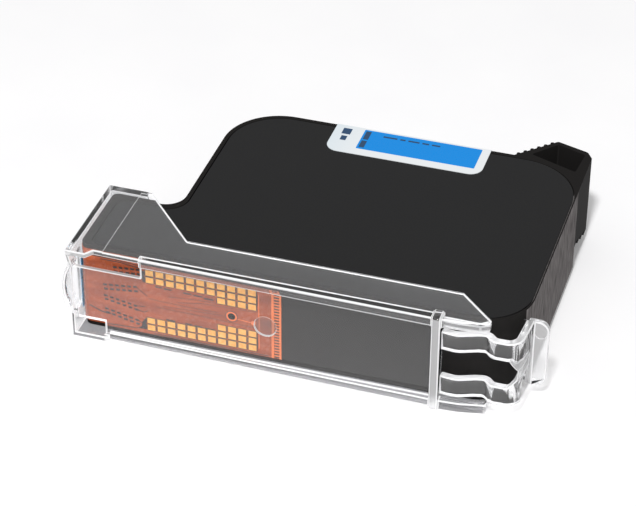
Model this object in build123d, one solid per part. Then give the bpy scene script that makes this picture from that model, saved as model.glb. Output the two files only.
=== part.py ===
from build123d import *
import os

# A thermal inkjet print cartridge for date coding, lying on one large side, with its clear
# protective cap clipped on. Millimetres. While it is drawn, X runs from the nozzle end along the
# contact face, Y from the contact face to the label edge, and Z through the thickness.
# Every node is written with the middle of the whole object's base at the origin.

# --- Print body, driving sizes -------------------------------------------------------------
MID_Z = 10.5            # middle of the thickness, above the surface the cap rests on
BODY_HALF = 9.1         # half of the body's thickness
BODY_LEFT = 1.5         # nozzle end
BODY_RIGHT = 87.0       # grained end, opposite the nozzles
BODY_FRONT = 2.5        # contact face
BODY_BACK = 58.0        # label edge
SNOUT_BACK = 20.2       # the snout is this deep, the rest of the body is wider
SHOULDER_X = 14.9       # where the wide body starts
NOSE_RADIUS = 1.5       # corner that the flex circuit bends round
NOSE_BACK_RADIUS = 1.2
THROAT_RADIUS = 4.0     # hollow corner between the snout and the shoulder
SHOULDER_RADIUS = 11.5
BACK_RADIUS = 12.5
FRONT_RADIUS = 10.0     # corner that the cap's latch goes round

# --- Side covers ---------------------------------------------------------------------------
COVER_THICK = 0.5
COVER_GAP = 0.25        # groove round each cover
COVER_CORNERS = [
    (3.4, 3.5, 1.4),
    (86.55, 3.5, 9.4),
    (86.55, 56.9, 12.0),
    (16.0, 56.9, 10.6),
    (16.0, 18.5, 4.6),
    (3.4, 18.5, 2.4),
]

# --- Reservoir -----------------------------------------------------------------------------
RESERVOIR_CORNERS = [
    (17.0, 4.7, 3.0),
    (84.8, 4.7, 7.6),
    (84.8, 55.8, 10.0),
    (17.0, 55.8, 9.0),
]
LINER_CORNERS = [
    (18.8, 6.5, 1.8),
    (83.0, 6.5, 5.8),
    (83.0, 54.0, 8.2),
    (18.8, 54.0, 7.2),
]
LINER_HALF = 7.4        # the bag films are staked to the liner's two faces at this height
LINER_BORE_END = 20.0   # the feed and fill bores are cut as far as here, inside the ring of the liner
FILM_THICK = 0.15
FILM_BORDER = 0.3       # the film's rim stays this far inside the liner's outer edge
CROWN_MARGIN = 1.6      # flat top of the bag, past the plate's edge
FILM_RISE = 0.6         # how far the filled bag bulges past the liner
PLATE_CORNERS = [
    (22.0, 10.0, 4.0),
    (80.0, 10.0, 6.0),
    (80.0, 51.0, 8.0),
    (22.0, 51.0, 7.0),
]
PLATE_THICK = 0.3
GUARD_THICK = 0.1
GUARD_MARGIN = 1.2      # the plastic edge guard stands out this far past the steel plate
FEED_Y = (6.0, 17.4)    # ink passage between reservoir and snout
FEED_HALF = 5.8
FEED_END = 17.5         # just inside the reservoir

# --- Bow spring ----------------------------------------------------------------------------
SPRING_X = (28.0, 74.0)
SPRING_Y = (25.0, 36.0)
SPRING_THICK = 0.35
SPRING_CLEAR = 0.3      # space left between the bows and the plates
SPRING_END = 1.4        # length of solid strip where the two bows meet

# --- Filter and printhead ------------------------------------------------------------------
CARRIER_X = (4.6, 16.8)
CARRIER_Y = (6.4, 17.0)
CARRIER_HALF = 5.2
SCREEN_THICK = 0.15
WINDOW_WALL = 2.0       # carrier wall round the filter windows
INK_SLOT_HALF = 0.6
DIE_Y = (5.6, 18.4)
DIE_HALF = 3.0
DIE_THICK = 0.6
DIE_RECESS = 0.65
DIE_CLEAR = 0.1         # gap round the die in its recess
SLOT_INSET = 1.0        # the ink slot stops this far inside the die's ends
FILL_BALL_RADIUS = 1.5
FILL_BALL_CLEAR = 0.02
FILL_BALL_DEPTH = 0.2   # the ball sits this far inside the shoulder
FILL_Y = 40.0

# --- Flex circuit and contact pads ---------------------------------------------------------
FLEX_THICK = 0.12
FLEX_RIGHT = 41.5
FLEX_HALF = 8.2
FLEX_END_Y = 18.8
PAD_SIZE = (1.55, 1.25)
PAD_THICK = 0.05
PAD_PITCH = 2.03
PAD_LEFT = 15.5
PAD_ROWS = [6.4, 4.75, 3.13]   # distance of each row from the middle of the contact field
CONTACT_Z = 10.2        # middle of the contact field
LONG_ROW = 11
SHORT_ROW = 4
DATUM_HOLE_X = 31.7
DATUM_HOLE_RADIUS = 0.75
DATUM_HOLE_DEPTH = 1.5
BEAD_SIZE = (1.0, 8.0)
BEAD_THICK = 0.12
BEAD_INSET = 0.6        # middle of each bead, inside the die's end

# --- Nozzle tape and label -----------------------------------------------------------------
TAPE_THICK = 0.08
TAPE_X = 1.16
TAPE_Y = (3.2, 18.9)
TAPE_HALF = 5.6
LABEL_X = (35.2, 67.3)
LABEL_FRONT = 48.4
LABEL_THICK = 0.1
LABEL_CORNER = 2.6
LABEL_DROP = 13.0       # length that is folded down over the back face

# --- Handle --------------------------------------------------------------------------------
HANDLE_CORNERS = [
    (68.0, 54.0, 0),
    (79.3, 65.4, 0.5),
    (85.8, 63.3, 1.2),
    (87.0, 61.4, 0.4),
    (87.0, 46.0, 0),
    (76.0, 46.0, 0),
]
POCKET_CORNERS = [
    (75.2, 59.3, 0.3),
    (79.6, 64.3, 0.3),
    (85.5, 62.2, 0.5),
    (84.9, 55.6, 0.3),
]
POCKET_WEB = 1.6
RIDGE_COUNT = 6
RIDGE_RADIUS = 0.42
RIDGE_START = (72.7, 58.75)
RIDGE_END = (78.3, 64.4)
STEP_COUNT = 4          # the handle's outer wall is cut back in steps on the lower side
STEP_Y = (49.2, 62.2)
STEP_HEIGHT = 4.8
STEP_X = 85.6

# --- Cap -----------------------------------------------------------------------------------
CAP_HIGH = 21.0
FLANGE_THICK = 1.1
FLANGE_REAR = [             # the part of the flange outline that both flanges share
    (71.6, -0.7, 0),
    (76.5, -0.4, 0),
    (81.4, 0.6, 0.6),
    (81.4, 1.8, 0.4),
    (74.5, 8.5, 0.5),
    (20.8, 8.5, 0.5),
    (8.9, 21.5, 0.5),
    (0.0, 21.5, 0.4),
]
UPPER_NOSE = [(0.0, -1.6, 0.3), (4.1, -1.6, 0.2), (5.2, -0.05, 0.2)]
LOWER_NOSE = [(0.0, -0.3, 0.3), (6.6, -0.3, 0), (7.6, 0.05, 0)]
UPPER_LIP_LEFT = 14.1       # the thick front lip of each flange starts here
LOWER_LIP_LEFT = 7.6
LIP_HEIGHT = 2.1
LIP_BACK = 0.8
LIP_CHAMFER = 0.5           # on the lower lip's bottom edge
LIP_CURVE = [               # the lip follows the flange's curve to its right end
    (76.0, -2.0, 0),
    (90.0, -2.0, 0),
    (90.0, 1.9, 0),
    (81.0, 1.9, 0),
]
FLANGE_STEP_X = 7.0
FLANGE_STEP = 0.12
FLANGE_STEP_BACK = 30.0
WALL_FRONT = (0.5, 1.5)     # outer and inner faces of the clear wall over the contacts
WALL_SIDE = 0.8
REAR_WALL = (20.6, 21.5)
REAR_WALL_RIGHT = 8.2
NOSE_NOTCH_Y = (1.5, 3.9)   # the end wall is cut away round the tongue
NOSE_NOTCH_Z = (5.5, 16.7)
WINDOW_X = (0.8, 14.1)      # open window in the front wall beside the nozzles
WINDOW_Z = (16.0, 19.9)
LOWER_WINDOW_X = (0.8, 6.5)
LOWER_WINDOW_Z = (1.1, 4.1)
GATE_CENTRE = (38.8, 10.5)
GATE_RADIUS = 2.2
GATE_DEPTH = 0.35
BAR_X = (70.9, 72.6)
BAR_FRONT = -1.1
BAR_OVER = 0.25             # the bar stands this far above the flange
BAR_ROUND = 0.45
TONGUE_Y = (0.2, 4.2)
TONGUE_THICK = 0.7
TONGUE_OUTER = [(0.2, 17.6), (-1.9, 11.4), (-0.9, 6.0)]     # (x, z) down its outer face
TONGUE_INNER = [(0.8, 16.9), (-1.2, 11.4), (-0.2, 6.2)]
SEAL_X = (0.8, 1.1)
SEAL_Y = (5.2, 18.2)
SEAL_HALF = 4.6

# --- Latch ---------------------------------------------------------------------------------
ARM_Z = [(3.5, 7.7), (13.8, 17.8)]
ARM_THICK = 1.5
LATCH_OUTER = [             # outer face of the latch, from the bar to the tab
    (72.6, -0.3),
    (75.8, -0.6),
    (79.3, 0.75),
    (80.7, 1.05),
    (82.1, -0.35),
    (85.7, -0.35),
    (87.5, 1.3),
    (88.0, 7.9),
]
LATCH_BENDS = [3.0, 1.0, 0.6, 0.6, 1.2, 1.4]  # radius inside each bend
LATCH_GAP_END = [(85.3, 7.7), (86.8, 9.2), (86.9, 11.2), (85.4, 13.8)]  # (x, z) round the gap's right end
TAB_X = (86.9, 90.8)
TAB_Y = (7.9, 9.1)
TAB_Z = (3.4, 17.7)
TAB_CORNER = 2.0
EJECTOR_RADIUS = 1.15
EJECTOR_DEPTH = 0.2
EJECTOR_Z = [5.6, 15.2]
EJECTOR_X = 89.3

# --- Whole object --------------------------------------------------------------------------
OBJECT_X = (TONGUE_OUTER[1][0], TAB_X[1])
OBJECT_Y = (UPPER_NOSE[0][1], HANDLE_CORNERS[1][1])
REACH = 5.0                 # cutting tools run this far past the surface they cut
TOP_Z = MID_Z + BODY_HALF
LOW_Z = MID_Z - BODY_HALF


def block(x_span, y_span, z_span):
    """A rectangular block between two x, two y and two z values."""
    size = [high - low for low, high in (x_span, y_span, z_span)]
    middle = [(low + high) / 2 for low, high in (x_span, y_span, z_span)]
    return Pos(*middle) * Box(*size)


def plan(corners):
    """A plan outline through (x, y, corner radius) rows."""
    outline = Polygon(*[(x, y) for x, y, _ in corners], align=None)
    for x, y, radius in corners:
        if radius:
            corner = outline.vertices().sort_by_distance(Vector(x, y, 0))[0]
            outline = fillet(corner, radius)
    return outline


def slab(outline, z_low, z_high):
    """A plan outline given thickness between two heights."""
    return Pos(0, 0, z_low) * extrude(outline, amount=z_high - z_low, dir=(0, 0, 1))


def both_sides(make):
    """Add the part that make(sign) gives for the upper (+1) and the lower (-1) side."""
    return make(1) + make(-1)


def levels(sign, low, high):
    """Heights low and high from the middle plane, on the upper or the lower side."""
    return tuple(sorted((MID_Z + sign * low, MID_Z + sign * high)))


def grown(corners, margin):
    """The same outline moved outwards by a margin, or inwards by a negative one."""
    return offset(plan(corners), amount=margin)


def x_bore(x_span, y, z, radius):
    """A round bore along X."""
    length = x_span[1] - x_span[0]
    return Pos((x_span[0] + x_span[1]) / 2, y, z) * Rot(0, 90, 0) * Cylinder(radius, length)


def y_bore(y_span, x, z, radius):
    """A round bore along Y."""
    length = y_span[1] - y_span[0]
    return Pos(x, (y_span[0] + y_span[1]) / 2, z) * Rot(90, 0, 0) * Cylinder(radius, length)


def body_outline():
    """Plan outline of the rigid frame without its handle."""
    return plan([
        (BODY_LEFT, BODY_FRONT, NOSE_RADIUS),
        (BODY_RIGHT, BODY_FRONT, FRONT_RADIUS),
        (BODY_RIGHT, BODY_BACK, BACK_RADIUS),
        (SHOULDER_X, BODY_BACK, SHOULDER_RADIUS),
        (SHOULDER_X, SNOUT_BACK, THROAT_RADIUS),
        (BODY_LEFT, SNOUT_BACK, NOSE_BACK_RADIUS),
    ])


def handle():
    """The ribbed, hollow pull handle at the back corner."""
    solid = slab(plan(HANDLE_CORNERS), LOW_Z, TOP_Z)
    for index in range(RIDGE_COUNT):
        share = index / (RIDGE_COUNT - 1)
        x = RIDGE_START[0] + share * (RIDGE_END[0] - RIDGE_START[0])
        y = RIDGE_START[1] + share * (RIDGE_END[1] - RIDGE_START[1])
        solid += Pos(x, y, MID_Z) * Cylinder(RIDGE_RADIUS, 2 * BODY_HALF)
    step_depth = (STEP_Y[1] - STEP_Y[0]) / STEP_COUNT
    for index in range(STEP_COUNT):
        y_low = STEP_Y[0] + index * step_depth
        height = STEP_HEIGHT * (1 - index / STEP_COUNT)
        solid -= block((STEP_X, BODY_RIGHT + REACH), (y_low, y_low + step_depth), (LOW_Z - 1, LOW_Z + height))
    return solid


def handle_pockets():
    """The two hollows of the handle, one from each side, with a web between them."""
    return both_sides(lambda sign: slab(plan(POCKET_CORNERS), *levels(sign, POCKET_WEB / 2, BODY_HALF + 1)))


def outer_frame():
    """The rigid plastic frame: a ring round the ink bag, with the snout and the handle."""
    recess = grown(COVER_CORNERS, COVER_GAP)
    frame = slab(body_outline(), LOW_Z, TOP_Z) + handle()
    frame -= handle_pockets()
    frame -= slab(plan(RESERVOIR_CORNERS), LOW_Z - 1, TOP_Z + 1)
    frame -= both_sides(lambda sign: slab(recess, *levels(sign, BODY_HALF - COVER_THICK, BODY_HALF + 1)))
    frame -= block((CARRIER_X[0], FEED_END), FEED_Y, levels(1, -FEED_HALF, FEED_HALF))
    slot_y = (DIE_Y[0] + SLOT_INSET, DIE_Y[1] - SLOT_INSET)
    frame -= block((BODY_LEFT, CARRIER_X[0]), slot_y, levels(1, -INK_SLOT_HALF, INK_SLOT_HALF))
    recess_y = (DIE_Y[0] - DIE_CLEAR, DIE_Y[1] + DIE_CLEAR)
    recess_half = DIE_HALF + DIE_CLEAR
    frame -= block((BODY_LEFT - 1, BODY_LEFT + DIE_RECESS), recess_y, levels(1, -recess_half, recess_half))
    frame -= x_bore((SHOULDER_X - 1, FEED_END), FILL_Y, MID_Z, FILL_BALL_RADIUS + FILL_BALL_CLEAR)
    hole_y = (BODY_FRONT - 1, BODY_FRONT + DATUM_HOLE_DEPTH)
    frame -= y_bore(hole_y, DATUM_HOLE_X, CONTACT_Z, DATUM_HOLE_RADIUS)
    return frame


def inner_frame():
    """The softer liner that the two bag films are staked to."""
    ring = slab(plan(RESERVOIR_CORNERS), *levels(1, -LINER_HALF, LINER_HALF))
    ring -= slab(plan(LINER_CORNERS), *levels(1, -LINER_HALF - 1, LINER_HALF + 1))
    bore_x = (SHOULDER_X, LINER_BORE_END)
    ring -= block(bore_x, FEED_Y, levels(1, -FEED_HALF, FEED_HALF))
    ring -= x_bore(bore_x, FILL_Y, MID_Z, FILL_BALL_RADIUS + FILL_BALL_CLEAR)
    return ring


def side_cover(sign):
    """A painted steel side cover, set flush into the frame."""
    return slab(plan(COVER_CORNERS), *levels(sign, BODY_HALF - COVER_THICK, BODY_HALF))


def bag_film(sign):
    """One wall of the ink bag: a shallow pan staked to the liner all round."""
    rim = grown(RESERVOIR_CORNERS, -FILM_BORDER)
    mouth = plan(LINER_CORNERS)
    crown = grown(PLATE_CORNERS, CROWN_MARGIN)
    outside = slab(mouth, LINER_HALF, LINER_HALF + FILM_THICK)
    outside += loft([Pos(0, 0, LINER_HALF + FILM_THICK) * mouth,
                     Pos(0, 0, LINER_HALF + FILM_RISE + FILM_THICK) * crown])
    inside = loft([Pos(0, 0, LINER_HALF) * mouth, Pos(0, 0, LINER_HALF + FILM_RISE) * crown])
    border = slab(rim, LINER_HALF, LINER_HALF + FILM_THICK) - slab(mouth, LINER_HALF, LINER_HALF + FILM_THICK)
    film = outside - inside + border
    if sign < 0:
        film = mirror(film, about=Plane.XY)
    return Pos(0, 0, MID_Z) * film


def piston_plate(sign):
    """The stiff plate that the bow spring pushes against the bag film."""
    top = LINER_HALF + FILM_RISE - GUARD_THICK
    return slab(plan(PLATE_CORNERS), *levels(sign, top - PLATE_THICK, top))


def edge_guard(sign):
    """A thin plastic sheet that keeps the plate's edge off the film."""
    top = LINER_HALF + FILM_RISE
    return slab(grown(PLATE_CORNERS, GUARD_MARGIN), *levels(sign, top - GUARD_THICK, top))


def bow_spring():
    """Two shallow bows of spring strip joined at their ends."""
    crest = LINER_HALF + FILM_RISE - GUARD_THICK - PLATE_THICK - SPRING_CLEAR
    middle_x = (SPRING_X[0] + SPRING_X[1]) / 2

    def lens(inset):
        end_inset = inset * SPRING_END / SPRING_THICK
        ends = [(SPRING_X[0] + end_inset, 0), (SPRING_X[1] - end_inset, 0)]
        upper = ThreePointArc(ends[0], (middle_x, crest - inset), ends[1])
        lower = ThreePointArc(ends[1], (middle_x, inset - crest), ends[0])
        return make_face([upper, lower])

    strip = extrude(lens(0) - lens(SPRING_THICK), amount=SPRING_Y[1] - SPRING_Y[0])
    return Pos(0, SPRING_Y[1], MID_Z) * Rot(90, 0, 0) * strip


def filter_carrier():
    """The snout insert that holds a filter screen on each side of the ink passage."""
    carrier = block(CARRIER_X, CARRIER_Y, levels(1, -CARRIER_HALF, CARRIER_HALF))
    opening_x = (CARRIER_X[0] + WINDOW_WALL, CARRIER_X[1] - WINDOW_WALL)
    opening_y = (CARRIER_Y[0] + WINDOW_WALL, CARRIER_Y[1] - WINDOW_WALL)
    carrier -= block(opening_x, opening_y, levels(1, -CARRIER_HALF - 1, CARRIER_HALF + 1))
    slot_x = (CARRIER_X[0] - 1, opening_x[0] + 1)
    carrier -= block(slot_x, opening_y, levels(1, -INK_SLOT_HALF, INK_SLOT_HALF))
    return carrier


def filter_screen(sign):
    """A fine steel mesh sheet over one window of the carrier."""
    margin = WINDOW_WALL / 2
    return block(
        (CARRIER_X[0] + margin, CARRIER_X[1] - margin),
        (CARRIER_Y[0] + margin, CARRIER_Y[1] - margin),
        levels(sign, CARRIER_HALF, CARRIER_HALF + SCREEN_THICK),
    )


def fill_port_ball():
    """The steel ball pressed into the fill hole in the shoulder."""
    centre_x = SHOULDER_X + FILL_BALL_DEPTH + FILL_BALL_RADIUS
    return Pos(centre_x, FILL_Y, MID_Z) * Sphere(FILL_BALL_RADIUS - FILL_BALL_CLEAR)


def flex_circuit():
    """The film circuit on the contact face, bent round the nose on to the nozzle end."""
    centre = (BODY_LEFT + NOSE_RADIUS, BODY_FRONT + NOSE_RADIUS)
    outer_corners = [
        (BODY_LEFT - FLEX_THICK, BODY_FRONT - FLEX_THICK, NOSE_RADIUS + FLEX_THICK),
        (FLEX_RIGHT, BODY_FRONT - FLEX_THICK, 0),
        (FLEX_RIGHT, BODY_FRONT, 0),
        (centre[0], centre[1], 0),
        (BODY_LEFT, FLEX_END_Y, 0),
        (BODY_LEFT - FLEX_THICK, FLEX_END_Y, 0),
    ]
    skin = plan(outer_corners) - body_outline()
    film = slab(skin, *levels(1, -FLEX_HALF, FLEX_HALF))
    film -= y_bore((BODY_FRONT - 1, BODY_FRONT), DATUM_HOLE_X, CONTACT_Z, DATUM_HOLE_RADIUS)
    return film


def pad_centres():
    """Centres of the contact pads: two long rows and one short row in each group."""
    centres = []
    for sign in (1, -1):
        for row, height in enumerate(PAD_ROWS):
            first = LONG_ROW - SHORT_ROW if row == len(PAD_ROWS) - 1 else 0
            for column in range(first, LONG_ROW):
                centres.append((PAD_LEFT + column * PAD_PITCH, CONTACT_Z + sign * height))
    return centres


def contact_pads():
    """Gold-plated contact pads on the flex circuit, one solid each."""
    pad_back = BODY_FRONT - FLEX_THICK
    pads = []
    for x, z in pad_centres():
        pads.append(block(
            (x - PAD_SIZE[0] / 2, x + PAD_SIZE[0] / 2),
            (pad_back - PAD_THICK, pad_back),
            (z - PAD_SIZE[1] / 2, z + PAD_SIZE[1] / 2),
        ))
    return Compound(children=pads)


def printhead_die():
    """The silicon die in its recess in the nozzle end."""
    x_back = BODY_LEFT + DIE_THICK
    return block((BODY_LEFT, x_back), DIE_Y, levels(1, -DIE_HALF, DIE_HALF))


def encapsulant_beads():
    """A bead of encapsulant across each end of the die."""
    x_span = (BODY_LEFT - FLEX_THICK - BEAD_THICK, BODY_LEFT - FLEX_THICK)
    beads = []
    for y_middle in (DIE_Y[0] + BEAD_INSET, DIE_Y[1] - BEAD_INSET):
        y_span = (y_middle - BEAD_SIZE[0] / 2, y_middle + BEAD_SIZE[0] / 2)
        beads.append(block(x_span, y_span, levels(1, -BEAD_SIZE[1] / 2, BEAD_SIZE[1] / 2)))
    return Compound(children=beads)


def nozzle_tape():
    """The peel-off blue tape over the nozzles."""
    return block((TAPE_X, TAPE_X + TAPE_THICK), TAPE_Y, levels(1, -TAPE_HALF, TAPE_HALF))


def label():
    """The printed label on the upper cover, folded down over the back face."""
    face = plan([
        (LABEL_X[0], LABEL_FRONT, LABEL_CORNER),
        (LABEL_X[1], LABEL_FRONT, LABEL_CORNER),
        (LABEL_X[1], BODY_BACK + LABEL_THICK, 0),
        (LABEL_X[0], BODY_BACK + LABEL_THICK, 0),
    ])
    sheet = slab(face, TOP_Z, TOP_Z + LABEL_THICK)
    fold_y = (BODY_BACK, BODY_BACK + LABEL_THICK)
    return sheet + block(LABEL_X, fold_y, (TOP_Z - LABEL_DROP, TOP_Z + LABEL_THICK))


def flange(nose, lip_left, z_face, z_inside, z_lip):
    """One flat clear flange that slides over a cover of the snout, with its thick front lip."""
    outline = plan(nose + FLANGE_REAR)
    sheet = slab(outline, *sorted((z_face, z_inside)))
    lip = slab(outline, *sorted((z_face, z_lip)))
    straight = block((lip_left, FLANGE_REAR[2][0]), (BAR_FRONT - 1, LIP_BACK), (0.0, CAP_HIGH))
    return sheet + (lip & (straight + slab(plan(LIP_CURVE), 0.0, CAP_HIGH)))


def lip_edge_cut():
    """The long wedge that chamfers the bottom front edge of the lower lip."""
    start, end = LOWER_NOSE[-1], FLANGE_REAR[0]
    wedge = Polygon(
        (-1, -1),
        (LIP_CHAMFER, -1),
        (LIP_CHAMFER, 0),
        (0, LIP_CHAMFER),
        (-1, LIP_CHAMFER),
        align=None,
    )
    run = Vector(end[0] - start[0], end[1] - start[1], 0)
    end_plane = Plane(origin=(start[0], start[1], 0), x_dir=(0, 1, 0), z_dir=run.normalized())
    return extrude(end_plane * wedge, amount=run.length)


def end_wall():
    """The cap's wall over the nozzles, cut away round the tongue and drawn forward at its top."""
    upper_front, lower_front = UPPER_NOSE[0][1], LOWER_NOSE[0][1]
    profile = Polygon(
        (lower_front, 0.0),
        (REAR_WALL[1], 0.0),
        (REAR_WALL[1], CAP_HIGH),
        (upper_front, CAP_HIGH),
        (upper_front, CAP_HIGH - FLANGE_THICK),
        (lower_front, NOSE_NOTCH_Z[1]),
        align=None,
    )
    wall = extrude(Plane.YZ * profile, amount=WALL_SIDE)
    return wall - block((-1.0, WALL_SIDE + 1), (UPPER_NOSE[0][1] - 1, NOSE_NOTCH_Y[1]), NOSE_NOTCH_Z)


def nozzle_tongue():
    """A leaf on the cap's end wall, fixed at its top and bulging outwards."""
    outer = ThreePointArc(*TONGUE_OUTER)
    inner = ThreePointArc(*TONGUE_INNER)
    tip = Line(outer @ 1, inner @ 1)
    root = Line(inner @ 0, outer @ 0)
    leaf = extrude(make_face([outer, tip, inner, root]), amount=TONGUE_Y[1] - TONGUE_Y[0])
    return Pos(0, TONGUE_Y[1], 0) * Rot(90, 0, 0) * leaf


def cap_shell():
    """The clear cap, without the latch that bends: flanges, walls, tongue and bar."""
    wall = block((0.0, BAR_X[1]), WALL_FRONT, (FLANGE_THICK, CAP_HIGH - FLANGE_THICK))
    wall -= y_bore((WALL_FRONT[0] - 1, WALL_FRONT[0] + GATE_DEPTH), *GATE_CENTRE, GATE_RADIUS)
    rear_wall = block((0.0, REAR_WALL_RIGHT), REAR_WALL, (0.0, CAP_HIGH))
    bar = block(BAR_X, (BAR_FRONT, WALL_FRONT[1]), (0.0, CAP_HIGH + BAR_OVER))
    bar = fillet(bar.edges().filter_by(Axis.X).group_by(Axis.Y)[0], BAR_ROUND)
    upper = flange(UPPER_NOSE, UPPER_LIP_LEFT, CAP_HIGH, CAP_HIGH - FLANGE_THICK, CAP_HIGH - LIP_HEIGHT)
    upper -= block((FLANGE_STEP_X, FLANGE_REAR[2][0] + 1), (UPPER_NOSE[0][1], FLANGE_STEP_BACK),
                   (CAP_HIGH - FLANGE_STEP, CAP_HIGH + 1))
    lower = flange(LOWER_NOSE, LOWER_LIP_LEFT, 0.0, FLANGE_THICK, LIP_HEIGHT) - lip_edge_cut()
    wall_reach = (UPPER_NOSE[0][1] - 1, WALL_FRONT[1] + 1)
    wall -= block(WINDOW_X, wall_reach, WINDOW_Z)
    wall -= block(LOWER_WINDOW_X, wall_reach, LOWER_WINDOW_Z)
    return upper + lower + wall + end_wall() + rear_wall + bar + nozzle_tongue()


def nozzle_seal_pad():
    """A translucent pad on the cap's end wall that faces the nozzle tape."""
    return block(SEAL_X, SEAL_Y, levels(1, -SEAL_HALF, SEAL_HALF))


def strip_corners(path, bends, thick):
    """Corners of a strip of even thickness that lies on the left of a path."""
    points = [Vector(x, y) for x, y in path]
    lefts = [(end - start).normalized().rotate(Axis.Z, 90) for start, end in zip(points, points[1:])]
    near = [(*path[0], 0)]
    far = [(points[0].X + thick * lefts[0].X, points[0].Y + thick * lefts[0].Y, 0)]
    for point, bend, before, after in zip(points[1:-1], bends, lefts, lefts[1:]):
        mitre = (before + after) * (thick / (1 + before.dot(after)))
        turns_left = before.cross(after).Z > 0
        near.append((point.X, point.Y, bend + thick if turns_left else bend))
        far.append((point.X + mitre.X, point.Y + mitre.Y, bend if turns_left else bend + thick))
    near.append((*path[-1], 0))
    far.append((points[-1].X + thick * lefts[-1].X, points[-1].Y + thick * lefts[-1].Y, 0))
    return near + far[::-1]


def latch_gap():
    """The finger gap between the two arms, with its slanted right end."""
    left = BAR_X[1] - 1
    gap = Polygon((left, ARM_Z[0][1]), *LATCH_GAP_END, (left, ARM_Z[1][0]), align=None)
    return Pos(0, TAB_Y[0] - 1, 0) * Rot(90, 0, 0) * extrude(gap, amount=2 * TAB_Y[0])


def cap_latch():
    """The clear latch: two springy arms, the rise round the body's corner, and the pull tab."""
    strip = plan(strip_corners(LATCH_OUTER, LATCH_BENDS, ARM_THICK))
    latch = slab(strip, ARM_Z[0][0], ARM_Z[1][1]) - latch_gap()
    tab = block(TAB_X, TAB_Y, TAB_Z)
    tab = fillet(tab.edges().filter_by(Axis.Y).group_by(Axis.X)[-1], TAB_CORNER)
    latch += tab
    for z in EJECTOR_Z:
        latch -= y_bore((TAB_Y[0] - 1, TAB_Y[0] + EJECTOR_DEPTH), EJECTOR_X, z, EJECTOR_RADIUS)
    return latch


NODES = {
    "outer_frame": outer_frame,
    "inner_frame": inner_frame,
    "top_cover": lambda: side_cover(1),
    "bottom_cover": lambda: side_cover(-1),
    "top_bag_film": lambda: bag_film(1),
    "bottom_bag_film": lambda: bag_film(-1),
    "top_piston_plate": lambda: piston_plate(1),
    "bottom_piston_plate": lambda: piston_plate(-1),
    "top_edge_guard": lambda: edge_guard(1),
    "bottom_edge_guard": lambda: edge_guard(-1),
    "bow_spring": bow_spring,
    "filter_carrier": filter_carrier,
    "top_filter_screen": lambda: filter_screen(1),
    "bottom_filter_screen": lambda: filter_screen(-1),
    "fill_port_ball": fill_port_ball,
    "flex_circuit": flex_circuit,
    "contact_pads": contact_pads,
    "printhead_die": printhead_die,
    "encapsulant_beads": encapsulant_beads,
    "nozzle_tape": nozzle_tape,
    "label": label,
    "cap_shell": cap_shell,
    "nozzle_seal_pad": nozzle_seal_pad,
    "cap_latch": cap_latch,
}


def main():
    os.makedirs("parts", exist_ok=True)
    to_origin = Pos(-sum(OBJECT_X) / 2, -sum(OBJECT_Y) / 2, 0)
    for name, make in NODES.items():
        export_step(to_origin * make(), f"parts/{name}.step")


main()
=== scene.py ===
import math

import bmesh
import bpy
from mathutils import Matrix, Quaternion, Vector


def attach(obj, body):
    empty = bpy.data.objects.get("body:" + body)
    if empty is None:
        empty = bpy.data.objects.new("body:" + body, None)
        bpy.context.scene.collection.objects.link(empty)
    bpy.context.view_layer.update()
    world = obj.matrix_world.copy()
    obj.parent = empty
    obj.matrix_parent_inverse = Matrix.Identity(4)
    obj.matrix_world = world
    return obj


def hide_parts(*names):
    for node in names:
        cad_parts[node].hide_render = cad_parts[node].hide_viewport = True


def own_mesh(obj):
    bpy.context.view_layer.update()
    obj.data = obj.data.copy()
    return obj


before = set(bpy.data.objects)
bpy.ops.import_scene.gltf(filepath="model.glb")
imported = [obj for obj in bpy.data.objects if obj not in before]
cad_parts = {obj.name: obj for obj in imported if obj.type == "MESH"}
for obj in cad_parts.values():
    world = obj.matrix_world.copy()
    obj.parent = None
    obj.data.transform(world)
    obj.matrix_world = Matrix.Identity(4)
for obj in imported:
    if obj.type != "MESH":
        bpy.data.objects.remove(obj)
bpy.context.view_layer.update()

MM = 0.001
DRAWING_X, DRAWING_Y = 44.45, 31.9      # the row frame's origin, in the drawing's millimetres

# --- Camera and light ----------------------------------------------------------------------
CAMERA_AZIMUTH = 17.27      # degrees from the contact face, towards the grained end
CAMERA_ELEVATION = 35.49
CAMERA_ROLL = 0.33
CAMERA_TARGET = (-7.74, 8.22, 0.0)      # millimetres, on the floor
CAMERA_DISTANCE = 480.35    # millimetres
CAMERA_LENS = 134.83        # millimetres
SENSOR_WIDTH = 36           # millimetres
KEY_DIRECTION = (0.07, -0.71, 1.0)       # the shadows fall to the back, away from the camera
KEY_DISTANCE = 1.2          # metres
KEY_SIZE = 0.10             # metres
KEY_WATTS = 10.7
FILL_STRENGTH = 0.39
FLOOR_GLOW = 0.15           # the floor gives a little light of its own, which keeps it white
FLOOR_SIZE = 4              # metres

# --- Plastic and paper ----------------------------------------------------------------------
BLACK = (0.018, 0.017, 0.0165)      # the frame's moulded plastic
# The end face is painted a lighter grey than the black frame: painted sheen for the light its grain catches.
END_FACE_LEAST_X = 41.8     # the grained end face lies past this, in row-frame millimetres,
END_FACE_MOST_Y = 17.3      # before the handle
END_FACE_MOST_Z = 19.4      # and below the top rim
LABEL_TINT_SCALE = 40       # per metre, so 25 mm of the label run over the whole tint ramp
SCREEN_WAVES = 1500         # scale of the woven waves, per metre
STEEL_GRAIN = (0.06, 1, 1)  # drawn out along X, as rolled
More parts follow.
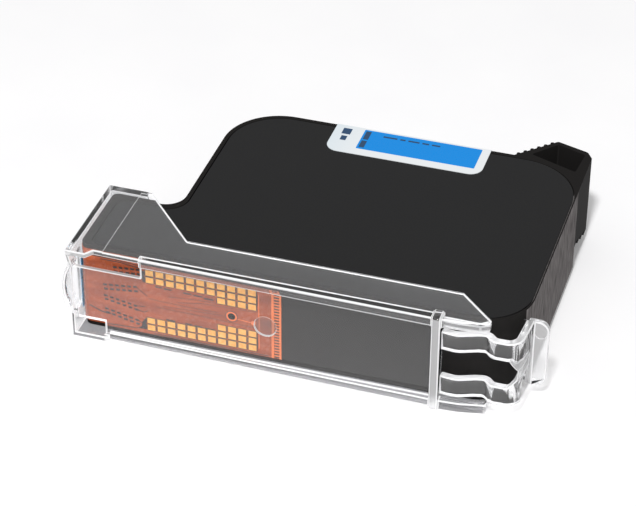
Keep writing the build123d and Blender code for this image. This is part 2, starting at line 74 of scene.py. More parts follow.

# --- Clear cap ------------------------------------------------------------------------------
# Each kind of surface: the share of light it scatters, what each face leaves of a lamp's light,
# its shade and its specular level. Thin faces pipe light from the inside and look white: the scatter of
# edges, corners and lips paints this in as a white painted highlight, and the darker shades of the lips
# and the lower lip are painted shade, for the dark body and its shadow seen through them.
CLEAR_KINDS = {
    "clear_edge_painted_highlight": (0.40, 0.6, 0.965, 0.5),
    "clear_lip": (0.10, 0.7, 0.62, 0.5),
    "clear_low_painted_shade": (0.03, 0.5, 0.2, 0.5),
    "clear_wall": (0.004, 0.94, 0.965, 0.08),
    "clear_face": (0.028, 0.94, 0.965, 0.5),
    "clear_corner_painted_highlight": (0.85, 0.5, 0.965, 0.5),
}
EDGE_WIDEST, LIP_WIDEST = 1.75, 2.4     # mm, how wide a face may be to count as an edge or a lip
WALL_FACING = 0.6           # faces that look this squarely along Y are walls
LOW_HEIGHTS = (0.3, 2.2)    # mm, the lower lip, painted dark as painted shade for the dark underside seen through it, lies between these heights
LOW_NARROWEST = 0.6         # mm, narrower faces of the lower lip stay bright edges
STRIP_NARROWEST = 1.0       # mm
LONG_STRIP = 10.0           # a flat strip this many times longer than wide is judged by itself
CORNER_WIDTH = 0.24         # mm, how wide the cap's rounded corners are
CORNER_SHARE = 0.4          # most of a face's width that one rounded corner may take
SHALLOW = 0.5               # mm, steps lower than this hardly show a corner,
SHALLOW_SHARE = 0.15        # so their corners take less of them
SMOOTH_ANGLE = 30.0         # degrees, faces that meet more sharply than this have a corner
FLAT_ANGLE = 1.0            # degrees, faces that meet more gently than this are one flat face
FLAT_COSINE = 0.999         # a surface is curved where its normals differ by more than this cosine
SAME_POINT = 1e-6           # metres

# --- Frame ----------------------------------------------------------------------------------
FRAME_CORNER = 0.12         # mm, how wide the frame's rounded corners are
CORNER_ANGLE = 35           # degrees, edges sharper than this are rounded

# --- Flex circuit, in the drawing's millimetres --------------------------------------------
FILM_FACE = 2.38            # y of the film's outer face
COPPER = 0.012              # how far the traces stand out of the film
FILM_Z = (2.3, 18.7)
PAD_SIZE = (1.55, 1.25)
PAD_PITCH = 2.03
PAD_LEFT = 15.5
PAD_ROWS = [6.4, 4.75, 3.13]
CONTACT_Z = 10.2
LONG_ROW, SHORT_ROW = 11, 4
GAP_BAR = 0.2               # width of the dark bars between the pads, which are painted shadow in the gaps
ROW_BAR = 0.2
COMB_X = (40.15, 41.1)
COMB_RAILS = [(39.55, 40.05), (41.1, 41.5)]
COMB_PITCH = 0.66
DARK_TOOTH, BRIGHT_TOOTH = 0.5, 0.45    # heights of the comb's dark and bright teeth, as shares of the pitch
HOLE_CENTRE = (31.7, 10.2)
HOLE_RADIUS = 0.75
TEST_POINT = (36.0, 9.6)
HOLE_RING = 0.32            # width of the bright ring round the hole
DARK_RING = (0.42, 0.56)    # how far outside the hole the thin dark ring lies
TEST_POINT_RADIUS = 0.5
TEST_TRACE_START = (32.8, 9.85)
RING_STEPS = 20
VIA_SIZE = (0.78, 0.45)
VIA_LEAN = 0.15             # how far a via leans, as a share of its fan's step in z
VIA_SHIFT = 0.15            # the second row of a fan lies this far to the right of the first
FANS = [
    # first via (x, z), columns, step (x, z), drop to the second row
    ((8.4, 16.15), 5, (1.16, 0.1), -1.0),
    ((6.4, 12.0), 6, (1.22, 0.15), -0.95),
    ((6.4, 9.45), 6, (1.2, -0.22), -0.85),
    ((6.5, 6.35), 6, (1.22, -0.27), -0.85),
]
FAN_TAILS = [
    [(12.9, 12.6), (14.0, 11.8), (14.9, 11.1)],
    [(12.9, 8.4), (14.4, 8.6)],
    [(12.7, 7.5), (14.1, 7.2), (14.9, 7.7)],
    [(12.9, 5.0), (14.0, 4.3)],
]
CURVED_TRACE = [(2.9, 6.5), (4.1, 6.0), (5.3, 5.5), (6.5, 5.3), (7.3, 5.35)]
EDGE_TRACES = [
    [(3.9, 18.0), (7.5, 17.95), (13.5, 17.6)],
    [(5.5, 17.5), (9.5, 17.5), (13.3, 17.0)],
    [(3.1, 3.2), (6.8, 2.8), (12.9, 3.1)],
    [(16.0, 2.55), (26.0, 2.5), (39.0, 2.6)],
]
INNER_BARS = [
    # dark bars along the inner edge of each group of pads: (x from, x to, z)
    (16.6, 18.0, 13.75), (18.3, 19.9, 13.65), (22.2, 23.8, 13.55), (24.2, 26.0, 13.45), (26.2, 28.2, 13.2),
    (18.5, 20.4, 6.45), (22.4, 23.8, 6.4), (24.2, 25.8, 6.3), (26.2, 28.3, 6.2),
]
INNER_BAR_HEIGHT = 0.34
CROSS_BAR = (0.22, 2.6)     # two dark bars that stand past the pads, and how far they are from the middle
CROSS_BAR_X = 36.75
CROSS_BAR_RISE = 4.9
CROSS_LINE = (0.16, 12.6)   # a thin bright line beside them
CROSS_LINE_X = 37.1
END_BLOCKS = [
    [(13.6, 16.9), (14.5, 16.9), (14.5, 14.2), (14.1, 14.4)],
    [(13.7, 4.9), (14.5, 6.0), (14.5, 3.2), (12.6, 3.1), (13.5, 3.8)],
]
EDGE_WIDTH, CURVED_WIDTH, TEST_WIDTH, LONG_WIDTH = 0.2, 0.3, 0.14, 0.12     # widths of the traces
LONG_TRACES = [
    [(21.0, 11.0), (26.0, 11.9), (36.6, 12.3)],
    [(19.0, 11.9), (25.0, 12.5), (33.0, 12.6)],
    [(15.0, 10.6), (22.0, 10.4), (29.0, 10.5)],
    [(18.0, 9.5), (27.0, 9.9), (30.0, 10.0)],
    [(16.5, 9.0), (25.0, 8.9), (36.8, 8.6)],
]

# --- Label ---------------------------------------------------------------------------------
LABEL_TOP = 19.7
PANEL_X = (41.2, 65.6)
PANEL_Y = (50.5, 57.6)
PANEL_RADIUS = 0.2
PANEL_CORNER_STEPS = 6
INK_THICK = 0.012
RULE_DASHES = [2.9, 1.1, 2.3, 1.4, 1.7]     # lengths of the dashes that stand for a line of print
RULE_START = (45.4, 55.9)
RULE_HEIGHT = 0.5
RULE_GAP = 0.6
SIDE_MARKS = [
    # dark blocks in place of the print beside and at the end of the panel: x and y spans
    ((41.6, 42.7), (51.1, 53.6)), ((41.6, 42.7), (54.1, 57.1)),
    ((37.2, 38.4), (52.6, 54.2)), ((36.9, 38.7), (54.9, 57.0)),
]


def at(x, y, z):
    """A point given in the drawing's millimetres, in the row frame."""
    return Vector(((x - DRAWING_X) * MM, (y - DRAWING_Y) * MM, z * MM))


def place_camera():
    """A long lens that looks down on the contact face from the right."""
    azimuth, elevation = math.radians(CAMERA_AZIMUTH), math.radians(CAMERA_ELEVATION)
    back = Vector((
        math.sin(azimuth) * math.cos(elevation),
        -math.cos(azimuth) * math.cos(elevation),
        math.sin(elevation),
    ))
    data = bpy.data.cameras.new("camera")
    data.lens = CAMERA_LENS
    data.sensor_width = SENSOR_WIDTH
    data.clip_start = 0.01
    camera = bpy.data.objects.new("camera", data)
    bpy.context.scene.collection.objects.link(camera)
    camera.rotation_mode = "QUATERNION"
    camera.rotation_quaternion = Quaternion(back, math.radians(CAMERA_ROLL)) @ back.to_track_quat("Z", "Y")
    camera.location = (Vector(CAMERA_TARGET) + back * CAMERA_DISTANCE) * MM
    bpy.context.scene.camera = camera


def soft_light(name, direction, distance, size, watts):
    """A square area light that points at the object from a direction."""
    data = bpy.data.lights.new(name, "AREA")
    data.size = size
    data.energy = watts
    light = bpy.data.objects.new(name, data)
    bpy.context.scene.collection.objects.link(light)
    away = Vector(direction).normalized()
    light.location = away * distance
    light.rotation_mode = "QUATERNION"
    light.rotation_quaternion = away.to_track_quat("Z", "Y")


# --- Materials -----------------------------------------------------------------------------
class Finish:
    """A procedural material: one Principled shader and the nodes that feed it."""

    def __init__(self, name, colour, roughness, **sockets):
        self.material = bpy.data.materials.new(name)
        self.material.use_nodes = True
        self.tree = self.material.node_tree
        self.shader = self.tree.nodes["Principled BSDF"]
        self.set("Base Color", (*colour, 1))
        self.set("Roughness", roughness)
        for socket, value in sockets.items():
            self.set(socket.replace("_", " "), value)

    def set(self, socket, value):
        self.shader.inputs[socket].default_value = value

    def node(self, kind, **settings):
        made = self.tree.nodes.new("ShaderNode" + kind)
        for key, value in settings.items():
            setattr(made, key, value)
        return made

    def link(self, output, node_input):
        self.tree.links.new(output, node_input)

    def place(self, stretch=(1, 1, 1)):
        """The point on the surface, in metres, stretched along the axes."""
        coordinates = self.node("TexCoord")
        mapping = self.node("Mapping")
        mapping.inputs["Scale"].default_value = stretch
        self.link(coordinates.outputs["Object"], mapping.inputs["Vector"])
        return mapping.outputs["Vector"]

    def noise(self, size, detail=4, stretch=(1, 1, 1)):
        """Fractal noise whose grains are about size millimetres."""
        noise = self.node("TexNoise")
        noise.inputs["Scale"].default_value = 1 / (size * MM)
        noise.inputs["Detail"].default_value = detail
        self.link(self.place(stretch), noise.inputs["Vector"])
        return noise.outputs["Fac"]

    def ramp(self, value, stops):
        """A colour ramp through (position, grey or colour) stops."""
        ramp = self.node("ValToRGB")
        while len(ramp.color_ramp.elements) < len(stops):
            ramp.color_ramp.elements.new(0.5)
        for element, (position, colour) in zip(ramp.color_ramp.elements, stops):
            element.position = position
            shade = (colour, colour, colour) if isinstance(colour, (int, float)) else colour
            element.color = (*shade, 1)
        self.link(value, ramp.inputs["Fac"])
        return ramp.outputs["Color"]

    def vary(self, socket, value, low, high):
        """Drive a socket between two greys or colours with a noise value."""
        self.link(self.ramp(value, [(0.35, low), (0.65, high)]), self.shader.inputs[socket])
        return self

    def beyond(self, axis, threshold):
        """1 where the surface lies past a threshold, in row-frame millimetres, along an axis."""
        split = self.node("SeparateXYZ")
        self.link(self.place(), split.inputs[0])
        compare = self.node("Math", operation="GREATER_THAN")
        compare.inputs[1].default_value = threshold * MM
        self.link(split.outputs[axis], compare.inputs[0])
        return compare.outputs[0]

    def combine(self, operation, first, second):
        """Combine two values with a math operation."""
        maths = self.node("Math", operation=operation)
        for value, node_input in zip((first, second), maths.inputs):
            if isinstance(value, (int, float)):
                node_input.default_value = value
            else:
                self.link(value, node_input)
        return maths.outputs[0]

    def blend(self, mask, low, high):
        """A colour that goes from low to high with a mask; each is a grey, colour or output."""
        mix = self.node("Mix", data_type="RGBA")
        self.link(mask, mix.inputs["Factor"])
        for shade, node_input in ((low, mix.inputs[6]), (high, mix.inputs[7])):
            if isinstance(shade, (int, float)):
                node_input.default_value = (shade, shade, shade, 1)
            elif isinstance(shade, tuple):
                node_input.default_value = (*shade, 1)
            else:
                self.link(shade, node_input)
        return mix.outputs[2]

    def let_lamps_through(self, share):
        """Clear plastic casts only a pale shadow: lamps pass it and keep this share of their light."""
        path = self.node("LightPath")
        passed = self.node("BsdfTransparent")
        passed.inputs["Color"].default_value = (share, share, share, 1)
        mix = self.node("MixShader")
        self.link(path.outputs["Is Shadow Ray"], mix.inputs["Fac"])
        self.link(self.shader.outputs["BSDF"], mix.inputs[1])
        self.link(passed.outputs["BSDF"], mix.inputs[2])
        self.link(mix.outputs["Shader"], self.tree.nodes["Material Output"].inputs["Surface"])

    def bump(self, height, depth, strength=1.0):
        """Relief of a depth in millimetres from a height value."""
        bump = self.node("Bump")
        bump.inputs["Distance"].default_value = depth * MM
        bump.inputs["Strength"].default_value = strength
        self.link(height, bump.inputs["Height"])
        self.link(bump.outputs["Normal"], self.shader.inputs["Normal"])
        return self


def clear_plastic(name):
    """Clear polystyrene, with the scatter and the light loss of one kind of surface. The scatter of edges,
    corners and lips is a white painted highlight, and the darker shades of the lips and the lower lip are
    painted shade.
    """
    scatter, lamp_share, shade, gloss = CLEAR_KINDS[name]
    finish = Finish(name, (shade, shade, min(1.0, shade + 0.01)), 0.03, IOR=1.49)
    finish.set("Transmission Weight", 1 - scatter)
    finish.set("Specular IOR Level", gloss)
    finish.vary("Roughness", finish.noise(3.0), 0.015, 0.06)
    finish.bump(finish.noise(2.5, 1), 0.006, 0.3)
    finish.let_lamps_through(lamp_share)
    return finish.material


def seal_rubber():
    finish = Finish("seal_rubber", (0.86, 0.88, 0.92), 0.35, IOR=1.42, Transmission_Weight=0.7)
    finish.vary("Roughness", finish.noise(1.0), 0.3, 0.45)
    return finish.bump(finish.noise(0.8, 2), 0.01, 0.3).material


def cover_paint():
    finish = Finish("cover_paint", (0.014, 0.014, 0.0145), 0.4, Specular_IOR_Level=0.2)
    finish.vary("Roughness", finish.noise(9.0), 0.40, 0.43)
    finish.vary("Base Color", finish.noise(0.35), (0.0125, 0.0125, 0.013), (0.0155, 0.0155, 0.016))
    return finish.bump(finish.noise(0.3, 3), 0.004, 0.4).material


def frame_plastic():
    """Moulded black plastic; the end face has a large spark-eroded grain, the handle is smooth. The end
    face's lighter grey is painted sheen over the grain's own speckle.
    """
    finish = Finish("frame_plastic", BLACK, 0.5, Specular_IOR_Level=0.01)
    below_rim = finish.combine("SUBTRACT", 1.0, finish.beyond("Z", END_FACE_MOST_Z))
    before_handle = finish.combine("SUBTRACT", 1.0, finish.beyond("Y", END_FACE_MOST_Y))
    end_side = finish.combine("MULTIPLY", below_rim, before_handle)
    end_face = finish.combine("MULTIPLY", finish.beyond("X", END_FACE_LEAST_X), end_side)
    grain = finish.noise(0.5, 6, (1.0, 1.0, 0.12))
    speck = finish.noise(0.18, 3)
    # the lighter grey is painted sheen for the light the grain catches; its speckle follows the grain
    grain_and_sheen = finish.ramp(grain, [(0.3, (0.075, 0.069, 0.068)), (0.7, (0.23, 0.215, 0.213))])
    finish.link(finish.blend(end_face, BLACK, grain_and_sheen), finish.shader.inputs["Base Color"])
    finish.link(finish.blend(end_face, 0.55, 0.75), finish.shader.inputs["Roughness"])
    grain_on_end = finish.combine("MULTIPLY", grain, end_face)
    relief = finish.combine("ADD", grain_on_end, finish.combine("MULTIPLY", speck, 0.2))
    return finish.bump(relief, 0.05, 0.6).material


def dark_moulding(name, colour, roughness):
    finish = Finish(name, colour, roughness)
    finish.vary("Roughness", finish.noise(2.0), roughness - 0.05, roughness + 0.08)
    return finish.bump(finish.noise(0.25, 3), 0.01, 0.4).material


def flex_film():
    """Amber film, faintly mottled along its length by the copper in it."""
    finish = Finish("flex_film", (0.33, 0.065, 0.018), 0.22)
    mottle = finish.noise(2.6, 5, (0.35, 1, 1.6))
    finish.vary("Base Color", mottle, (0.27, 0.050, 0.014), (0.39, 0.080, 0.022))
    finish.vary("Roughness", finish.noise(0.9), 0.2, 0.3)
    return finish.bump(finish.noise(1.4, 3, (0.4, 1, 1)), 0.012, 0.5).material


def copper_under_film(name, colour):
    finish = Finish(name, colour, 0.35)
    finish.vary("Roughness", finish.noise(0.4), 0.3, 0.45)
    return finish.bump(finish.noise(0.3), 0.004, 0.4).material


def gold():
    finish = Finish("gold", (0.93, 0.48, 0.10), 0.38, Metallic=0.3)
    finish.vary("Base Color", finish.noise(0.7, 5), (0.88, 0.40, 0.075), (0.97, 0.53, 0.14))
    finish.vary("Roughness", finish.noise(0.3, 4), 0.3, 0.5)
    return finish.bump(finish.noise(0.35, 4), 0.012, 0.6).material


def label_paper():
    """White film label with a pale blue tint towards the nozzle end."""
    finish = Finish("label_paper", (0.84, 0.88, 0.91), 0.3)
    split = finish.node("SeparateXYZ")
    finish.link(finish.place((LABEL_TINT_SCALE, LABEL_TINT_SCALE, LABEL_TINT_SCALE)), split.inputs[0])
    shade = finish.ramp(finish.combine("ADD", split.outputs["X"], 0.5), [
        (0.10, (0.76, 0.84, 0.89)),
        (0.40, (0.86, 0.89, 0.91)),
    ])
    finish.link(shade, finish.shader.inputs["Base Color"])
    finish.vary("Roughness", finish.noise(2.0), 0.25, 0.35)
    return finish.bump(finish.noise(3.0), 0.004, 0.3).material


def label_ink(name, colour):
    finish = Finish(name, colour, 0.4, Specular_IOR_Level=0.2)
    finish.vary("Roughness", finish.noise(1.5), 0.25, 0.36)
    return finish.bump(finish.noise(3.0), 0.003, 0.3).material


def steel(name, shade, roughness, grain_size):
    finish = Finish(name, (shade, shade, shade), roughness, Metallic=1.0)
    finish.vary("Roughness", finish.noise(grain_size, 4, STEEL_GRAIN), roughness - 0.08, roughness + 0.1)
    return finish.bump(finish.noise(grain_size, 4, STEEL_GRAIN), 0.004, 0.4).material


def mesh_screen():
    """Woven steel mesh, as two crossed waves."""
    finish = Finish("mesh_screen", (0.45, 0.45, 0.44), 0.4, Metallic=1.0)
    waves = []
    for direction in ("X", "Y"):
        wave = finish.node("TexWave", bands_direction=direction)
        wave.inputs["Scale"].default_value = SCREEN_WAVES
        finish.link(finish.place(), wave.inputs["Vector"])
        waves.append(wave.outputs["Fac"])
    weave = finish.combine("MULTIPLY", *waves)
    finish.vary("Base Color", weave, 0.12, 0.5)
    return finish.bump(weave, 0.05).material


def bag_film(name, colour):
    finish = Finish(name, colour, 0.25, Metallic=0.3, Alpha=0.75)
    finish.vary("Roughness", finish.noise(5.0), 0.18, 0.32)
    return finish.bump(finish.noise(6.0, 3), 0.08, 0.5).material


def blue_tape():
    finish = Finish("blue_tape", (0.16, 0.50, 0.80), 0.3, Transmission_Weight=0.4)
    finish.vary("Roughness", finish.noise(1.0), 0.25, 0.4)
    return finish.bump(finish.noise(1.8), 0.02, 0.4).material


def silicon():
    finish = Finish("silicon", (0.06, 0.06, 0.08), 0.15, Metallic=0.6)
    finish.vary("Roughness", finish.noise(1.0), 0.1, 0.2)
    return finish.bump(finish.noise(0.2), 0.002, 0.3).material


def floor_finish():
    finish = Finish("floor", (0.9, 0.9, 0.9), 0.7, Specular_IOR_Level=0.2, Emission_Strength=FLOOR_GLOW)
    finish.set("Emission Color", (1, 1, 1, 1))
    finish.vary("Base Color", finish.noise(30.0), (0.885, 0.88, 0.89), (0.91, 0.905, 0.91))
    return finish.bump(finish.noise(1.5), 0.01, 0.2).material


# --- Building blocks -----------------------------------------------------------------------
def mesh_piece(name, vertices, faces, material, body):
    """A named piece from row-frame vertices, riding one body."""
    mesh = bpy.data.meshes.new(name)
    mesh.from_pydata([tuple(vertex) for vertex in vertices], [], faces)
    mesh.update()
    mesh.materials.append(material)
    piece = bpy.data.objects.new(name, mesh)
    bpy.context.scene.collection.objects.link(piece)
    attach(piece, body)
    return piece


def prism(outline, shift):
    """Vertices and faces of a closed prism: an outline and its copy moved by a shift."""
    count = len(outline)
    vertices = list(outline) + [point + shift for point in outline]
    faces = [tuple(range(count)), tuple(range(2 * count - 1, count - 1, -1))]
    for index in range(count):
        following = (index + 1) % count
        faces.append((following, index, count + index, count + following))
    return vertices, faces


def prisms_piece(name, outlines, shift, material, body):
    """One piece made of many prisms."""
    vertices, faces = [], []
    for outline in outlines:
        some_vertices, some_faces = prism(outline, shift)
        offset = len(vertices)
        vertices += some_vertices
        faces += [tuple(index + offset for index in face) for face in some_faces]
    piece = mesh_piece(name, vertices, faces, material, body)
    shaper = bmesh.new()
    shaper.from_mesh(piece.data)
    bmesh.ops.recalc_face_normals(shaper, faces=shaper.faces)
    shaper.to_mesh(piece.data)
    shaper.free()
    return piece


def on_film(points):
    """Points (x, z) on the outside of the flex film."""
    return [at(x, FILM_FACE, z) for x, z in points]


def box_on_film(centre, size, lean=0.0):
    """Corners of a small parallelogram on the film; lean raises its right end."""
    x, z = centre
    half_x, half_z = size[0] / 2, size[1] / 2
    return on_film([
        (x - half_x, z - half_z - lean),
        (x + half_x, z - half_z + lean),
        (x + half_x, z + half_z + lean),
        (x - half_x, z + half_z - lean),
    ])


def ribbon_on_film(path, width):
    """Outline of a ribbon of even width that follows a path on the film."""
    upper = [(x, z + width / 2) for x, z in path]
    lower = [(x, z - width / 2) for x, z in path]
    return on_film(lower + upper[::-1])


# --- Pieces --------------------------------------------------------------------------------
def pad_centres():
    """Centres (x, z) of the contact pads."""
    centres = []
    for sign in (1, -1):
        for row, height in enumerate(PAD_ROWS):
            first = LONG_ROW - SHORT_ROW if row == len(PAD_ROWS) - 1 else 0
            for column in range(first, LONG_ROW):
                centres.append((PAD_LEFT + column * PAD_PITCH, CONTACT_Z + sign * height))
    return centres


def ring_on_film(centre, inner, outer):
    """Outlines of the small flat pieces that make a ring, or a disc where inner is 0."""
    quads = []
    for step in range(RING_STEPS):
        corners = []
        for radius, turn in ((inner, step), (outer, step), (outer, step + 1), (inner, step + 1)):
            angle = 2 * math.pi * turn / RING_STEPS
            corners.append((centre[0] + radius * math.cos(angle), centre[1] + radius * math.sin(angle)))
        quads.append(on_film(corners))
    return quads


def pad_shadow_bars(along_rows):
    """Dark bars beside each pad, or above and below it: painted shadow in the gaps between the pads."""
    bars = []
    for x, z in pad_centres():
        for side in (-1, 1):
            if along_rows:
                bar_z = z + side * (PAD_SIZE[1] / 2 + ROW_BAR / 2)
                bars.append(box_on_film((x, bar_z), (PAD_SIZE[0], ROW_BAR)))
            else:
                bar_x = x + side * (PAD_SIZE[0] / 2 + GAP_BAR / 2)
                bars.append(box_on_film((bar_x, z), (GAP_BAR, PAD_SIZE[1])))
    return bars


def vias():
    """The fans of small dark openings near the nose."""
    boxes = []
    for (x, z), columns, (step_x, step_z), drop in FANS:
        for column in range(columns):
            for row in range(2):
                centre = (x + column * step_x + VIA_SHIFT * row, z + column * step_z + row * drop)
                boxes.append(box_on_film(centre, VIA_SIZE, lean=step_z * VIA_LEAN))
    return boxes


def dark_blocks():
    """Blocks at the ends of the pad rows, bars along their inner edges, and two bars past them."""
    blocks = [on_film(corners) for corners in END_BLOCKS]
    blocks += [ribbon_on_film([(start, z), (end, z)], INNER_BAR_HEIGHT) for start, end, z in INNER_BARS]
    blocks += [box_on_film((CROSS_BAR_X, CONTACT_Z + sign * CROSS_BAR_RISE), CROSS_BAR) for sign in (1, -1)]
    return blocks


def dark_traces():
    """Traces along the film's edges and past the fans, and the thin ring round the hole."""
    traces = [ribbon_on_film(path, EDGE_WIDTH) for path in EDGE_TRACES + FAN_TAILS]
    traces.append(ribbon_on_film(CURVED_TRACE, CURVED_WIDTH))
    traces += ring_on_film(HOLE_CENTRE, HOLE_RADIUS + DARK_RING[0], HOLE_RADIUS + DARK_RING[1])
    return traces


def comb_teeth(shift, share):
    """The teeth of the comb, moved up by a shift; each is a share of the pitch high."""
    middle = (COMB_X[0] + COMB_X[1]) / 2
    size = (COMB_X[1] - COMB_X[0], COMB_PITCH * share)
    count = int((FILM_Z[1] - FILM_Z[0]) / COMB_PITCH)
    heights = [FILM_Z[0] + (index + 0.5) * COMB_PITCH + shift for index in range(count)]
    return [box_on_film((middle, z), size) for z in heights]


def bright_copper():
    """The comb's bright teeth and rails, the ring round the hole, and the test point with its trace."""
    parts = comb_teeth(COMB_PITCH / 2, BRIGHT_TOOTH)
    middle_z = (FILM_Z[0] + FILM_Z[1]) / 2
    for start, end in COMB_RAILS:
        parts.append(box_on_film(((start + end) / 2, middle_z), (end - start, FILM_Z[1] - FILM_Z[0])))
    parts += ring_on_film(HOLE_CENTRE, HOLE_RADIUS, HOLE_RADIUS + HOLE_RING)
    parts += ring_on_film(TEST_POINT, 0.0, TEST_POINT_RADIUS)
    parts.append(ribbon_on_film([TEST_TRACE_START, TEST_POINT], TEST_WIDTH))
    parts.append(box_on_film((CROSS_LINE_X, CONTACT_Z), CROSS_LINE))
    return parts


def flex_pattern():
    """Vias, traces, the painted shadow that frames each pad and the comb at the film's end, just proud of the
    film.
    """
    dark = copper_under_film("trace_dark_and_pad_shadow", (0.020, 0.018, 0.019))
    shade = copper_under_film("trace_brown_and_pad_shadow", (0.08, 0.028, 0.018))
    bright = copper_under_film("trace_bright", (0.80, 0.19, 0.045))

    def piece(name, outlines, material):
        prisms_piece(name, outlines, Vector((0, -COPPER * MM, 0)), material, "pen")

    piece("flex_vias", vias(), dark)
    # the bars round the pads are painted shadow, drawn in the traces' dark colours
    piece("flex_row_pad_shadows", pad_shadow_bars(True), shade)
    piece("flex_column_pad_shadows", pad_shadow_bars(False), dark)
    piece("flex_dark_blocks", dark_blocks(), dark)
    piece("flex_dark_traces", dark_traces(), dark)
    piece("flex_long_traces", [ribbon_on_film(path, LONG_WIDTH) for path in LONG_TRACES], shade)
    piece("flex_comb", comb_teeth(0.0, DARK_TOOTH), dark)
    piece("flex_bright_parts", bright_copper(), bright)


def rounded_rectangle(x_span, y_span, radius, z):
    """Corner-rounded outline in plan at a height."""
    centres = [
        (x_span[1] - radius, y_span[1] - radius, 0),
        (x_span[0] + radius, y_span[1] - radius, 90),
        (x_span[0] + radius, y_span[0] + radius, 180),
        (x_span[1] - radius, y_span[0] + radius, 270),
    ]
    outline = []
    for x, y, start in centres:
        for step in range(PANEL_CORNER_STEPS + 1):
            angle = math.radians(start + 90 * step / PANEL_CORNER_STEPS)
            outline.append(at(x + radius * math.cos(angle), y + radius * math.sin(angle), z))
    return outline


def flat_patch(x_span, y_span, z):
    """Corners of a small rectangle on the label."""
    return [at(x, y, z) for x, y in (
        (x_span[0], y_span[0]),
        (x_span[1], y_span[0]),
        (x_span[1], y_span[1]),
        (x_span[0], y_span[1]),
    )]


def label_print():
    """The blue panel, and plain dashes in place of the small print."""
    panel = rounded_rectangle(PANEL_X, PANEL_Y, PANEL_RADIUS, LABEL_TOP)
    panel_rise = Vector((0, 0, INK_THICK * MM))
    prisms_piece("label_panel", [panel], panel_rise, label_ink("ink_blue", (0.006, 0.27, 0.78)), "pen")
    marks = [flat_patch(x_span, y_span, LABEL_TOP) for x_span, y_span in SIDE_MARKS]
    x = RULE_START[0]
    for length in RULE_DASHES:
        marks.append(flat_patch((x, x + length), (RULE_START[1], RULE_START[1] + RULE_HEIGHT), LABEL_TOP))
        x += length + RULE_GAP
    prisms_piece("label_marks", marks, 2 * panel_rise, label_ink("ink_dark", (0.03, 0.075, 0.16)), "pen")


class Surface:
    """A smooth surface of a mesh: its width (mm), how squarely it faces Y, its height and its shape."""

    def __init__(self, members):
        inside = set(members)
        rim = {edge for face in members for edge in face.edges if not inside.issuperset(edge.link_faces)}
        area = sum(face.calc_area() for face in members)
        half_rim = sum(edge.calc_length() for edge in rim) / 2
        self.width = area / half_rim / MM
        self.is_strip = half_rim / MM > LONG_STRIP * self.width
        self.facing = abs(sum(face.calc_area() * face.normal.y for face in members)) / area
        self.height = sum(face.calc_area() * face.calc_center_median().z for face in members) / area / MM
        self.curved = any(face.normal.dot(members[0].normal) < FLAT_COSINE for face in members)


def surfaces(shaper, label_name, sharpest):
    """Label each face with the surface it is on; surfaces end where faces meet more sharply than sharpest."""
    label = shaper.faces.layers.int.new(label_name)
    found, seen = [], set()
    for first in shaper.faces:
        if first in seen:
            continue
        seen.add(first)
        waiting, members = [first], []
        while waiting:
            face = waiting.pop()
            face[label] = len(found)
            members.append(face)
            for edge in face.edges:
                if len(edge.link_faces) != 2 or edge.calc_face_angle(math.pi) > math.radians(sharpest):
                    continue
                for other in edge.link_faces:
                    if other not in seen:
                        seen.add(other)
                        waiting.append(other)
        found.append(Surface(members))
    return label, found


def clear_kind(surface, facet):
    """Which kind of clear surface a face is, from the smooth surface and the flat facet it is on."""
    width = facet.width if facet.is_strip and facet.width > STRIP_NARROWEST else surface.width
    # the lower lip gets a dark painted shade; thin edges and lips get white painted highlights
    if LOW_HEIGHTS[0] < facet.height < LOW_HEIGHTS[1] and facet.width > LOW_NARROWEST:
        return "clear_low_painted_shade"
    if width <= EDGE_WIDEST:
        return "clear_edge_painted_highlight"
    if width <= LIP_WIDEST:
        return "clear_lip"
    return "clear_wall" if surface.facing > WALL_FACING else "clear_face"


def corner_weight(sides):
    """How much of the full corner an edge between these surfaces gets, from 0 to 1."""
    narrowest = min(side.width for side in sides)
    share = CORNER_SHARE if narrowest > SHALLOW else SHALLOW_SHARE
    return min(1.0, share * narrowest / CORNER_WIDTH)


def sort_clear_faces(mesh, names):
    """Give each face of a clear moulding its kind's material, and weight the corners for the bevel."""
    shaper = bmesh.new()
    shaper.from_mesh(mesh)
    bmesh.ops.remove_doubles(shaper, verts=shaper.verts, dist=SAME_POINT)
    label, smooth_ones = surfaces(shaper, "surface", SMOOTH_ANGLE)
    facet_label, facets = surfaces(shaper, "facet", FLAT_ANGLE)
    for face in shaper.faces:
        surface = smooth_ones[face[label]]
        face.material_index = names.index(clear_kind(surface, facets[face[facet_label]]))
        face.smooth = surface.curved
    flat = math.radians(FLAT_ANGLE)
    bmesh.ops.dissolve_limit(
        shaper, angle_limit=flat, verts=shaper.verts, edges=shaper.edges, delimit={"MATERIAL"})
    weight = shaper.edges.layers.float.new("bevel_weight_edge")
    for edge in shaper.edges:
        sides = {face[label] for face in edge.link_faces}
        if len(sides) == 2:
            edge[weight] = corner_weight([smooth_ones[side] for side in sides])
    shaper.to_mesh(mesh)
    shaper.free()


def clear_piece(node, body, kinds):
    """A clear moulding in the shape of a CAD node, with light-piping edges and rounded corners painted white
    as painted highlights.
    """
    names = list(kinds)
    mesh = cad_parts[node].data.copy()
    mesh.materials.clear()
    for name in names:
        mesh.materials.append(kinds[name])
    sort_clear_faces(mesh, names)
    piece = bpy.data.objects.new(node + "_clear", mesh)
    bpy.context.scene.collection.objects.link(piece)
    bevel = piece.modifiers.new("bevel", "BEVEL")
    bevel.width = CORNER_WIDTH * MM
    bevel.segments = 2
    bevel.limit_method = "WEIGHT"
    bevel.use_clamp_overlap = False
    bevel.harden_normals = True
    # the rounded corners take the whitest kind, a painted highlight along every corner
    bevel.material = names.index("clear_corner_painted_highlight")
    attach(piece, body)
    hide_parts(node)


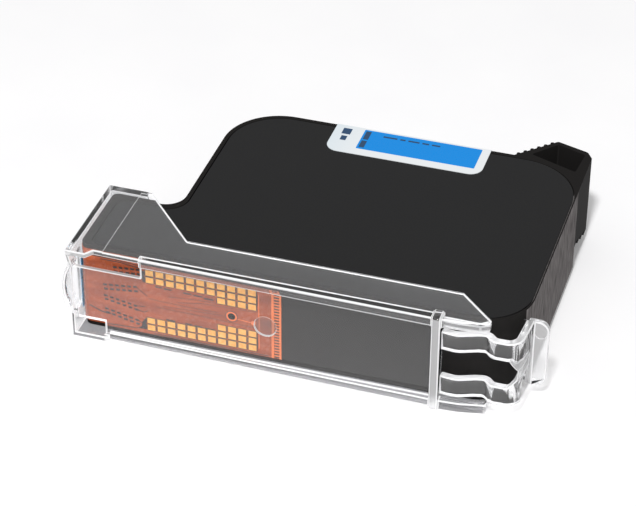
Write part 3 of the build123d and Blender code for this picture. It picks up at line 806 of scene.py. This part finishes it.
def clear_cap():
    """The cap's two clear mouldings."""
    kinds = {name: clear_plastic(name) for name in CLEAR_KINDS}
    clear_piece("cap_shell", "cap", kinds)
    clear_piece("cap_latch", "latch", kinds)


def springy_bow():
    """The bow spring, as its own copy of the CAD mesh in spring steel."""
    spring = bpy.data.objects.new("bow_spring_steel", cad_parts["bow_spring"].data.copy())
    bpy.context.scene.collection.objects.link(spring)
    spring.data.materials.clear()
    spring.data.materials.append(steel("spring_steel", 0.5, 0.25, 0.3))
    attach(spring, "pen")
    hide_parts("bow_spring")
    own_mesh(spring)


def soften(node, width):
    """Round a CAD node's sharp edges and smooth its shading, with modifiers only."""
    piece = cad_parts[node]
    weld = piece.modifiers.new("weld", "WELD")
    weld.merge_threshold = SAME_POINT
    flat = piece.modifiers.new("flat", "DECIMATE")
    flat.decimate_type = "DISSOLVE"
    flat.angle_limit = math.radians(FLAT_ANGLE)
    bevel = piece.modifiers.new("bevel", "BEVEL")
    bevel.width = width * MM
    bevel.segments = 2
    bevel.limit_method = "ANGLE"
    bevel.angle_limit = math.radians(CORNER_ANGLE)
    bevel.harden_normals = True


def studio():
    """White surroundings, one soft key light and the floor."""
    world = bpy.data.worlds.new("studio")
    world.use_nodes = True
    background = world.node_tree.nodes["Background"]
    background.inputs["Color"].default_value = (1, 1, 1, 1)
    background.inputs["Strength"].default_value = FILL_STRENGTH
    bpy.context.scene.world = world
    bpy.context.scene.view_settings.view_transform = "Standard"
    soft_light("key", KEY_DIRECTION, KEY_DISTANCE, KEY_SIZE, KEY_WATTS)
    bpy.ops.mesh.primitive_plane_add(size=FLOOR_SIZE)
    floor = bpy.context.object
    floor.name = "floor"
    floor.data.materials.append(floor_finish())


def dress(material, *nodes):
    """Give CAD nodes a material."""
    for name in nodes:
        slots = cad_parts[name].data.materials
        slots.clear()
        slots.append(material)


def dress_nodes():
    dress(seal_rubber(), "nozzle_seal_pad")
    dress(cover_paint(), "top_cover", "bottom_cover")
    dress(frame_plastic(), "outer_frame")
    dress(dark_moulding("liner_plastic", (0.05, 0.05, 0.05), 0.5), "inner_frame")
    dress(dark_moulding("carrier_plastic", (0.03, 0.03, 0.03), 0.45), "filter_carrier")
    dress(dark_moulding("encapsulant", (0.015, 0.015, 0.015), 0.2), "encapsulant_beads")
    dress(silicon(), "printhead_die")
    dress(flex_film(), "flex_circuit")
    dress(gold(), "contact_pads")
    dress(label_paper(), "label")
    dress(blue_tape(), "nozzle_tape")
    dress(bag_film("bag_film", (0.6, 0.6, 0.63)), "top_bag_film", "bottom_bag_film")
    dress(bag_film("guard_film", (0.75, 0.74, 0.68)), "top_edge_guard", "bottom_edge_guard")
    dress(steel("plate_steel", 0.58, 0.35, 0.5), "top_piston_plate", "bottom_piston_plate")
    dress(steel("ball_steel", 0.7, 0.15, 0.8), "fill_port_ball")
    dress(mesh_screen(), "top_filter_screen", "bottom_filter_screen")


place_camera()
studio()
dress_nodes()
flex_pattern()
label_print()
clear_cap()
springy_bow()
soften("outer_frame", FRAME_CORNER)
